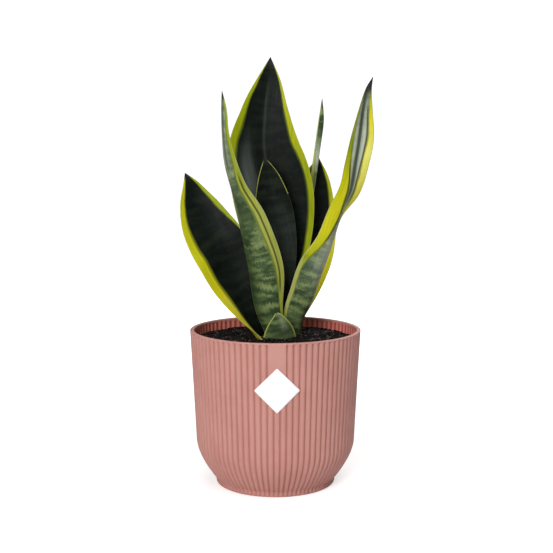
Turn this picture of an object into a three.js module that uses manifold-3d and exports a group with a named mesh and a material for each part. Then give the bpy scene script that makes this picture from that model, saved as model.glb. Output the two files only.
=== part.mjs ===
// A potted snake plant: eight thick leaves standing in dark potting soil, in a fluted round
// plastic pot with a diamond label on its front.
// Millimetres, +Z up. The origin is on the pot's axis at the bottom of its foot, and the
// label faces -Y, turned a hair towards +X.
import * as THREE from 'three';
import { mergeVertices } from 'three/addons/utils/BufferGeometryUtils.js';
import Module from 'manifold-3d';

const wasm = await Module();
wasm.setup();

// ---- driving dimensions ---------------------------------------------------------------
const FRONT_ANGLE = THREE.MathUtils.degToRad(-88.8); // the way the label faces
const POT_HEIGHT = 127;
const RIM_RADIUS = 70;
const SHOULDER_HEIGHT = 38; // the straight wall ends here and the round lower body starts
const SHOULDER_RADIUS = 65.4;
const FOOT_HEIGHT = 4.6;
const FOOT_RADIUS = 49.2;
const FOOT_EDGE = 0.8; // bevel round the bottom edge of the foot
const BODY_START_RADIUS = 49.8; // where the round body leaves the foot
const BODY_BULGE = [65.7, 24.7]; // radius and height that the round body is drawn towards
const WALL = 3.3;
const RIM_LIP = 1.6; // plain band above the flutes
const RIM_EDGE = 0.4; // bevel along the top of the rim
const FLOOR_TOP = 4.4;
const INSIDE_HEIGHTS = [9, 16, 25, SHOULDER_HEIGHT]; // corners of the inside of the wall
const WALL_SEGMENTS = 42; // facets round the inside of the wall
const BODY_STEPS = 6; // straight steps along the round lower body

const RIBS = 84;
const GROOVE_DEPTH = 1.4;
const PANEL_RIBS = 3; // the plain strip at the front is this many ribs wide
const PANEL_BOTTOM = 88; // it ends behind the label

const LABEL_DIAGONAL = 35.5;
const LABEL_CENTRE_HEIGHT = 90.2;
const LABEL_THICKNESS = 0.35;
const LABEL_STEPS = 8;

const GAP = 0.3; // between pieces that touch
const SOIL_EDGE_HEIGHT = 119;
const SOIL_CROWN_HEIGHT = 123;

const SOIL_MOUND = [0.75, 0.5, 0.25]; // rings of the mound, as shares of the soil's radius

// The rootstock is a flat-topped dome upside down: flat is the share of its depth that is a
// plain rim, and stretch makes it longer from front to back than across.
const RHIZOME = { x: 2, y: 3, radius: 23, depth: 14, flat: 0.3, stretch: 1.2, top: 106.7 };
const RHIZOME_STEPS = 6;
const RHIZOME_SEGMENTS = 20;

const LEAF_SECTIONS = 22; // cross-sections along a leaf
const ACROSS = [-1, -0.7, -0.35, 0, 0.35, 0.7, 1]; // places across a leaf, edge to edge
const EDGE_THICKNESS = 0.8;
const TIP_THICKNESS = 0.5;
const THICKNESS_PER_HALF_WIDTH = 0.4; // a narrow stretch of a leaf is thinner

// Each leaf is a row of stations from its buried foot to its tip. A station is
// [x, y, z, halfWidth, turn, dish]: the middle of the line between the two edges, half the
// distance between them, the compass direction in degrees that the inner face looks
// (-90 is to the front), and how far the middle of the blade lies behind that line.
// The crease is the share of the dish that comes to a fold along the middle.
const LEAVES = [
  {
    name: 'leaf_back_tall',
    thickness: 2.6,
    crease: 0.25,
    stations: [
      [2, 8, 107, 6, -90, 3],
      [2, 8, 125, 7.5, -90, 4],
      [3, 10, 164, 17, -90, 6.5],
      [2, 12, 202, 28.5, -90, 8],
      [-2, 14.5, 238, 33.5, -90, 7.5],
      [-9, 16.5, 272, 30.5, -90, 6],
      [-8.5, 19, 303, 20.5, -90, 4],
      [-5.5, 21.5, 329, 10.5, -90, 2],
      [-4, 23, 349, 0, -90, 0],
    ],
  },
  {
    name: 'leaf_front_left',
    thickness: 2.4,
    crease: 0.15,
    stations: [
      [-0.5, -5.5, 107, 6.5, 82, 2.5],
      [-0.5, -5.5, 122, 7.5, 82, 3],
      [-5.5, -8.5, 148, 12, 78, 5.5],
      [-8, -10.5, 180, 15, 72, 8],
      [-18, -14, 217, 12.5, 65, 6.5],
      [-28.5, -16, 242, 8, 55, 4.5],
      [-35.5, -18, 264, 6.5, 49, 3],
      [-39, -20.5, 285, 4, 47, 1.5],
      [-40, -22.5, 304, 3, 45, 1],
      [-41.5, -24, 318.5, 0, 45, 0],
    ],
  },
  {
    name: 'leaf_centre_short',
    thickness: 2.2,
    crease: 0.2,
    stations: [
      [2.5, 1.5, 107, 4, -90, 2],
      [2.5, 1.5, 124, 5, -90, 2.5],
      [3, 2, 160, 11, -90, 4.5],
      [4, 2.5, 193, 13.5, -90, 5],
      [-1, 3.5, 223, 15.5, -90, 4.5],
      [-5, 5, 249, 9.5, -90, 2.5],
      [-9, 6.5, 268, 0, -90, 0],
    ],
  },
  {
    name: 'leaf_left',
    thickness: 2.6,
    crease: 0.2,
    stations: [
      [-9.5, -12, 107, 9.5, -3, 3.5],
      [-9.5, -12, 122, 11.5, -4, 4],
      [-18.5, -13, 145, 17, -46, 8],
      [-35, -10.5, 171, 20.5, -62, 8],
      [-43.5, -8.5, 192.5, 23.5, -70, 7],
      [-54.5, -4.5, 211.5, 21.5, -70, 6],
      [-62.5, 1, 228.5, 16, -70, 4],
      [-68.5, 6, 243.5, 8, -66, 2],
      [-74, 9, 254.5, 0, -60, 0],
    ],
  },
  {
    name: 'leaf_right_twisted',
    thickness: 2.4,
    crease: 0.5,
    stations: [
      [14, 4, 107, 8.5, 138, 3.5],
      [14, 4, 124, 9.5, 138, 4.5],
      [15.5, 3, 139, 12, 132, 6],
      [21.5, 0.5, 157, 13.5, 131, 7.5],
      [29.5, -5, 180, 14, 130, 6],
      [39.5, -11, 201, 9, 125, 4],
      [47.5, -18, 222.5, 7, 115, 3.5],
      [58.5, -25.5, 242, 8.5, 92, 3.5],
      [63.5, -30.5, 262, 9.5, 74, 3.5],
      [67.5, -32.5, 282.5, 9.5, 64, 3.5],
      [69.5, -33.5, 301, 6.5, 58, 2.5],
      [71.5, -34, 317.5, 3, 54, 1],
      [75, -35, 328.5, 0, 54, 0],
    ],
  },
  {
    name: 'leaf_front_stub',
    thickness: 2,
    crease: 0.2,
    stations: [
      [3.5, -14, 107, 12, 100, 3.5],
      [3.5, -14, 121, 13.5, 100, 4],
      [3, -16, 131, 10.5, 98, 3.5],
      [2, -18.5, 139, 5, 96, 1.5],
      [0.5, -20, 144, 0, 96, 0],
    ],
  },
  {
    name: 'leaf_back_right',
    thickness: 2.4,
    crease: 0.2,
    stations: [
      [12, 24, 107, 6, -93, 2.5],
      [12.5, 24, 124, 7, -93, 3],
      [20, 28.5, 156, 16.5, -92, 5],
      [30.5, 32.5, 182.5, 17.5, -90, 5],
      [33, 35.5, 207.5, 18.5, -90, 5],
      [34.5, 38, 231.5, 15, -90, 4],
      [35, 39.5, 252.5, 9.5, -90, 2.5],
      [36.5, 41, 267.5, 0, -90, 0],
    ],
  },
  {
    name: 'leaf_back_narrow',
    thickness: 1.6,
    crease: 0.2,
    stations: [
      [11, 18.5, 107, 3.5, 130, 1],
      [11, 19, 124, 4, 130, 1.5],
      [17.5, 23, 165, 4, 133, 2],
      [23, 26.5, 203, 3, 135, 2],
      [29.5, 28, 237.5, 3, 135, 2],
      [34, 30, 268.5, 3, 135, 2],
      [38, 31, 296.5, 3, 130, 1],
      [39, 32, 316, 0, 130, 0],
    ],
  },
];

const MATERIALS = {
  pot: new THREE.MeshStandardMaterial({ color: 0xc98f86, roughness: 0.6, metalness: 0 }),
  label: new THREE.MeshStandardMaterial({ color: 0xf6f4f1, roughness: 0.45, metalness: 0 }),
  soil: new THREE.MeshStandardMaterial({ color: 0x1c1613, roughness: 1, metalness: 0 }),
  rhizome: new THREE.MeshStandardMaterial({ color: 0xb08a55, roughness: 0.8, metalness: 0 }),
  leaf: new THREE.MeshStandardMaterial({ color: 0x27382b, roughness: 0.4, metalness: 0 }),
};

// ---- helpers --------------------------------------------------------------------------
// A closed surface through rings of points. Each ring turns anticlockwise when it is seen
// from the last ring's side, and the first and last rings are closed to a middle point.
function loft(rings, firstMiddle, lastMiddle) {
  const count = rings[0].length;
  const points = [...rings.flat(), firstMiddle, lastMiddle];
  const first = points.length - 2;
  const last = points.length - 1;
  const index = [];
  for (let k = 0; k < count; k++) {
    const next = (k + 1) % count;
    index.push(first, next, k);
    for (let row = 0; row < rings.length - 1; row++) {
      const low = row * count;
      const high = low + count;
      index.push(low + k, low + next, high + next);
      index.push(low + k, high + next, high + k);
    }
    const top = (rings.length - 1) * count;
    index.push(last, top + k, top + next);
  }
  const geometry = new THREE.BufferGeometry().setFromPoints(points);
  geometry.setIndex(index);
  return geometry;
}

function turned(profile, segments) {
  const points = profile.map(([radius, height]) => new THREE.Vector2(radius, height));
  const geometry = new THREE.LatheGeometry(points, segments);
  geometry.rotateX(Math.PI / 2);
  return geometry;
}

function toSolid(geometry) {
  const bare = geometry.clone();
  bare.deleteAttribute('normal');
  bare.deleteAttribute('uv');
  const merged = mergeVertices(bare, 1e-4);
  const corners = [];
  const source = merged.index.array;
  for (let k = 0; k < source.length; k += 3) {
    const [a, b, c] = [source[k], source[k + 1], source[k + 2]];
    if (a !== b && b !== c && c !== a) corners.push(a, b, c);
  }
  const mesh = new wasm.Mesh({
    numProp: 3,
    vertProperties: new Float32Array(merged.attributes.position.array),
    triVerts: new Uint32Array(corners),
  });
  return new wasm.Manifold(mesh);
}

function toGeometry(solid) {
  const mesh = solid.getMesh();
  const geometry = new THREE.BufferGeometry();
  geometry.setAttribute('position', new THREE.BufferAttribute(mesh.vertProperties, 3));
  geometry.setIndex(new THREE.BufferAttribute(mesh.triVerts, 1));
  return geometry;
}

// ---- pot ------------------------------------------------------------------------------
const BODY_CURVE = new THREE.QuadraticBezierCurve(
  new THREE.Vector2(BODY_START_RADIUS, FOOT_HEIGHT),
  new THREE.Vector2(...BODY_BULGE),
  new THREE.Vector2(SHOULDER_RADIUS, SHOULDER_HEIGHT),
);

// Heights and radii of the rib crests, from the foot to the rim.
function crestProfile() {
  const foot = [
    [FOOT_RADIUS - FOOT_EDGE, 0],
    [FOOT_RADIUS, FOOT_EDGE],
  ];
  const body = BODY_CURVE.getPoints(BODY_STEPS).map((point) => [point.x, point.y]);
  return [...foot, ...body, [RIM_RADIUS, POT_HEIGHT - RIM_EDGE]];
}

function crestRadius(height) {
  const profile = crestProfile();
  const above = profile.findIndex(([, z]) => z >= height);
  if (above <= 0) return profile.at(above)[0];
  const [lowRadius, low] = profile[above - 1];
  const [highRadius, high] = profile[above];
  return THREE.MathUtils.mapLinear(height, low, high, lowRadius, highRadius);
}

// One ring of the outside, with a crest in the middle of each rib and a groove between.
function flutedRing(radius, height, fluted) {
  const ring = [];
  for (let k = 0; k < 2 * RIBS; k++) {
    const angle = FRONT_ANGLE + (k * Math.PI) / RIBS;
    const fromFront = Math.min(k, 2 * RIBS - k);
    const inPanel = fromFront < PANEL_RIBS && height > PANEL_BOTTOM;
    const grooved = fluted && k % 2 === 1 && !inPanel;
    const r = grooved ? radius - GROOVE_DEPTH : radius;
    ring.push(new THREE.Vector3(r * Math.cos(angle), r * Math.sin(angle), height));
  }
  return ring;
}

function potGeometry() {
  const lipBottom = POT_HEIGHT - RIM_LIP;
  const fluteTop = lipBottom - GROOVE_DEPTH;
  const rings = [];
  for (const [radius, height] of crestProfile().slice(0, -1)) {
    rings.push(flutedRing(radius, height, height > 0));
  }
  for (const height of [PANEL_BOTTOM - GROOVE_DEPTH, PANEL_BOTTOM + GROOVE_DEPTH, fluteTop]) {
    rings.push(flutedRing(crestRadius(height), height, true));
  }
  rings.push(flutedRing(crestRadius(lipBottom), lipBottom, false));
  rings.push(flutedRing(RIM_RADIUS, POT_HEIGHT - RIM_EDGE, false));
  rings.push(flutedRing(RIM_RADIUS - RIM_EDGE, POT_HEIGHT, false));
  const outside = loft(rings, new THREE.Vector3(0, 0, 0), new THREE.Vector3(0, 0, POT_HEIGHT));

  const mouth = POT_HEIGHT + RIM_LIP;
  const cavity = turned([[0, FLOOR_TOP], ...insideProfile(mouth, 0), [0, mouth]], WALL_SEGMENTS);
  return toGeometry(toSolid(outside).subtract(toSolid(cavity)));
}

// The inside of the wall from the floor up to a height, drawn in by a clearance.
function insideProfile(top, clearance) {
  const heights = [FLOOR_TOP + clearance, ...INSIDE_HEIGHTS];
  const wall = heights.map((height) => [crestRadius(height) - WALL - clearance, height]);
  const slope = (RIM_RADIUS - SHOULDER_RADIUS) / (POT_HEIGHT - SHOULDER_HEIGHT);
  const topRadius = SHOULDER_RADIUS + slope * (top - SHOULDER_HEIGHT) - WALL - clearance;
  return [...wall, [topRadius, top]];
}

// ---- label ----------------------------------------------------------------------------
// A square sheet standing on one corner, bent round the crests of the ribs.
function labelPoint(across, up, lift) {
  const height = LABEL_CENTRE_HEIGHT + up;
  const radius = crestRadius(height) + lift;
  const angle = FRONT_ANGLE + across / crestRadius(LABEL_CENTRE_HEIGHT);
  return new THREE.Vector3(radius * Math.cos(angle), radius * Math.sin(angle), height);
}

function labelGeometry() {
  const half = LABEL_DIAGONAL / 2;
  const rings = [];
  for (let row = 0; row <= LABEL_STEPS; row++) {
    const front = [];
    const back = [];
    for (let column = 0; column <= LABEL_STEPS; column++) {
      const across = (half * (column - row)) / LABEL_STEPS;
      const up = half * ((column + row) / LABEL_STEPS - 1);
      front.push(labelPoint(across, up, GAP + LABEL_THICKNESS));
      back.unshift(labelPoint(across, up, GAP));
    }
    rings.push([...front, ...back]);
  }
  const middle = (ring) => ring[0].clone().lerp(ring[LABEL_STEPS + 1], 0.5);
  return loft(rings, middle(rings[0]), middle(rings.at(-1)));
}

// ---- leaves ---------------------------------------------------------------------------
// One closed cross-section of a leaf: along the inner face, then back along the outer face.
function leafRing(place, tangent, shape, leaf, clearance) {
  const halfWidth = shape.x + clearance;
  const turn = THREE.MathUtils.degToRad(shape.y);
  const dish = shape.z;
  const facing = new THREE.Vector3(Math.cos(turn), Math.sin(turn), 0);
  const inward = facing.addScaledVector(tangent, -facing.dot(tangent)).normalize();
  const side = new THREE.Vector3().crossVectors(tangent, inward);
  const tapered = TIP_THICKNESS + THICKNESS_PER_HALF_WIDTH * shape.x;
  const middleThickness = Math.min(leaf.thickness, tapered);
  const edgeThickness = Math.min(EDGE_THICKNESS, middleThickness);
  const innerFace = [];
  const outerFace = [];
  for (const u of ACROSS) {
    const depth = dish * (1 - u * u + leaf.crease * (1 - Math.abs(u)));
    const thickness = THREE.MathUtils.lerp(middleThickness, edgeThickness, u * u);
    const point = place.clone().addScaledVector(side, halfWidth * u);
    point.addScaledVector(inward, -depth);
    const half = thickness / 2 + clearance;
    innerFace.push(point.clone().addScaledVector(inward, half));
    outerFace.unshift(point.clone().addScaledVector(inward, -half));
  }
  return [...innerFace, ...outerFace];
}

function leafGeometry(leaf, clearance = 0) {
  const spine = new THREE.CatmullRomCurve3(
    leaf.stations.map(([x, y, z]) => new THREE.Vector3(x, y, z)),
    false,
    'catmullrom',
  );
  const shapes = new THREE.CatmullRomCurve3(
    leaf.stations.map(([, , , halfWidth, turn, dish]) => new THREE.Vector3(halfWidth, turn, dish)),
    false,
    'catmullrom',
  );
  const rings = [];
  for (let k = 0; k < LEAF_SECTIONS; k++) {
    const t = k / LEAF_SECTIONS;
    rings.push(leafRing(spine.getPoint(t), spine.getTangent(t), shapes.getPoint(t), leaf, clearance));
  }
  const keel = (ACROSS.length - 1) / 2; // the middle of the inner face, and of the outer one
  const footFaces = [rings[0].at(keel), rings[0].at(-1 - keel)];
  const foot = footFaces[0].clone().lerp(footFaces[1], 0.5);
  return loft(rings, foot, spine.getPoint(1));
}

// ---- soil and rhizome -----------------------------------------------------------------
// The rootstock that the leaves grow from: a flat-topped knob under the soil.
function rhizomeGeometry(clearance = 0) {
  const radius = RHIZOME.radius + clearance;
  const depth = RHIZOME.depth + 2 * clearance;
  const top = RHIZOME.top + clearance;
  const profile = [[0, top - depth]];
  for (let k = 1; k <= RHIZOME_STEPS; k++) {
    const angle = (k / RHIZOME_STEPS) * (Math.PI / 2);
    const share = RHIZOME.flat + (1 - RHIZOME.flat) * Math.cos(angle);
    profile.push([radius * Math.sin(angle), top - depth * share]);
  }
  profile.push([radius, top], [0, top]);
  const geometry = turned(profile, RHIZOME_SEGMENTS);
  geometry.scale(1, RHIZOME.stretch, 1);
  geometry.translate(RHIZOME.x, RHIZOME.y, 0);
  return geometry;
}

function soilGeometry() {
  const wall = insideProfile(SOIL_EDGE_HEIGHT, GAP);
  const mound = [];
  const edgeRadius = wall.at(-1)[0];
  for (const share of SOIL_MOUND) {
    const rise = (SOIL_CROWN_HEIGHT - SOIL_EDGE_HEIGHT) * (1 - share * share);
    mound.push([edgeRadius * share, SOIL_EDGE_HEIGHT + rise]);
  }
  const profile = [[0, FLOOR_TOP + GAP], ...wall, ...mound, [0, SOIL_CROWN_HEIGHT]];
  // The hollow round the rhizome reaches a little above the leaves' feet.
  const hollow = toSolid(rhizomeGeometry(2 * GAP));
  let soil = toSolid(turned(profile, WALL_SEGMENTS)).subtract(hollow);
  for (const leaf of LEAVES) {
    soil = soil.subtract(toSolid(leafGeometry(leaf, GAP)));
  }
  return toGeometry(soil);
}

// ---- the plant ------------------------------------------------------------------------
const plant = new THREE.Group();

function add(name, geometry, material) {
  const mesh = new THREE.Mesh(geometry, material);
  mesh.name = name;
  plant.add(mesh);
}

add('pot', potGeometry(), MATERIALS.pot);
add('label', labelGeometry(), MATERIALS.label);
add('soil', soilGeometry(), MATERIALS.soil);
add('rhizome', rhizomeGeometry(), MATERIALS.rhizome);
for (const leaf of LEAVES) {
  add(leaf.name, leafGeometry(leaf), MATERIALS.leaf);
}

export default plant;
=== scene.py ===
# A potted snake plant on a pale studio floor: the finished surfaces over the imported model.
# Lengths in the tables are millimetres, apart from the studio's, and Blender's are metres.
import math

import bpy
import numpy as np
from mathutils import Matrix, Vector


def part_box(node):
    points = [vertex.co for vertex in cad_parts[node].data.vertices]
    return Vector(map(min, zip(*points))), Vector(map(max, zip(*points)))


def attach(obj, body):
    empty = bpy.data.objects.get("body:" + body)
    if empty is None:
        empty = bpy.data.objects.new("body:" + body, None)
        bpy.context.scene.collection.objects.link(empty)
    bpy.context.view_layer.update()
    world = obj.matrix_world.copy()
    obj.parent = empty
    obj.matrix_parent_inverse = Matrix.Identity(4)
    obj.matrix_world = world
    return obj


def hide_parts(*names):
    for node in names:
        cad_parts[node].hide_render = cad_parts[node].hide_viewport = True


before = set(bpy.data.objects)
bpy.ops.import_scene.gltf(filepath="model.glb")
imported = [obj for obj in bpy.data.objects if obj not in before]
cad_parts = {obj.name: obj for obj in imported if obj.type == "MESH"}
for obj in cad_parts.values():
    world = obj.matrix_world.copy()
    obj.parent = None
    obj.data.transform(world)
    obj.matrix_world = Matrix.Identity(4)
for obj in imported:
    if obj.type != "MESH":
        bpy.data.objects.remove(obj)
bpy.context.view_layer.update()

MM = 0.001
POT_BOX = [tuple(corner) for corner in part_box("pot")]
SOIL_BOX = [tuple(corner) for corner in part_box("soil")]
LABEL_BOX = [tuple(corner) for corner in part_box("label")]

# ---- pot, in millimetres -----------------------------------------------------------------
POT_HEIGHT = (POT_BOX[1][2] - POT_BOX[0][2]) / MM
RIM_RADIUS = (POT_BOX[1][0] - POT_BOX[0][0]) / MM / 2
SHOULDER_HEIGHT = 38
SHOULDER_RADIUS = 65.4
FOOT_HEIGHT = 4.6
FOOT_RADIUS = 49.2
BODY_START_RADIUS = 49.8
BODY_BULGE = (65.7, 24.7)
WALL = 3.3
FLOOR_TOP = 4.4
RIBS = 84
COLUMNS_PER_RIB = 14
GROOVE_DEPTH = 1.4
RIB_ROUNDNESS = 0.96  # 0 is flat and 1 a half circle
RIB_FOOT_FADE = (-6, 7)  # heights between which the ribs grow to their full depth
RIB_TOP_FADE = 0.5
INNER_GROOVE_DEPTH = 0.7
INNER_FADE = 2
INNER_PLAIN_PAINTED_LIGHT = 0.35  # how much painted light lightens and reddens the inside between its grooves
LIP_HEIGHT = 0.8
LIP_ROUNDING = 0.6
LIP_STEPS = 6
FRONT_ANGLE = math.radians(-88.8)  # the way the label faces
INNER_TOP = POT_HEIGHT - 1.2
PANEL_RIBS = 3
PANEL_EDGE = 0.17  # the panel ends this share of a rib short of the groove

# ---- label and soil, in millimetres ------------------------------------------------------
LABEL_DIAGONAL = (LABEL_BOX[1][2] - LABEL_BOX[0][2]) / MM
LABEL_CENTRE = (LABEL_BOX[0][2] + LABEL_BOX[1][2]) / MM / 2
PANEL_BOTTOM = LABEL_CENTRE - 1.5  # the panel ends behind the label
LABEL_THICKNESS = 0.35
LABEL_GAP = 0.3
LABEL_STEPS = 41
LABEL_CORNER = 0.05  # how much of each corner is rounded
LABEL_EDGE_SHARE = 0.45  # the edge's thickness, as a share
SOIL_CROWN = SOIL_BOX[1][2] / MM
SOIL_EDGE = SOIL_CROWN - 4
SOIL_GAP = 0.3
SOIL_SIDE_GAP = 0.8
SOIL_SUNK = 0.6  # the visible soil is this far under the CAD crown, so that lumps fit under it
SOIL_LUMPS = 0.7
SOIL_COLUMNS = 220
SOIL_RINGS = 70
BED_TINT = 0.35
CRUMBS = 3800
CRUMB_SIZE = 0.24
CRUMB_EXTRA = 0.5  # the biggest crumbs are this much bigger
CRUMB_ROUGHNESS = 0.16
FIBRE_SHARE = 0.05
FIBRE_STRETCH = (4.5, 0.5, 0.5)

# ---- leaves ------------------------------------------------------------------------------
LEAF_ROWS = 170
LEAF_COLUMNS = 49
EDGE_THICKNESS = 0.8
TIP_THICKNESS = 0.5
THICKNESS_PER_HALF_WIDTH = 0.4  # a narrow stretch of a leaf is thinner
EDGE_ROLL = 0.45  # how far in from the edge the rounding starts
KEEL_SOFTNESS = 0.006
KEEL_WIDTH = 1.2
RIPPLE = 0.16
RIPPLE_PITCH = 9
RIPPLE_WIDTHS = (3, 9)  # half widths between which the ripple grows
LONGEST_TIP = 9
TIPS_PER_LEAF = 25  # a short leaf is this many dark tips long
LINE_FADE = 12

# ---- studio, in metres -------------------------------------------------------------------
FLOOR_REACH = 1.6
FLOOR_GLOW = (0.55, 1.0)  # what the view adds to the floor, near the pot and far from it
GLOW_REACH = (0.1, 0.5)
SEEN_WHITE = 1.1
FILL_LIGHT = 0.14
CAMERA_PLACE = (0.00093, -0.821, 0.2645)
CAMERA_TILT = math.radians(83.44)
CAMERA_LENS = 65.75
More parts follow.
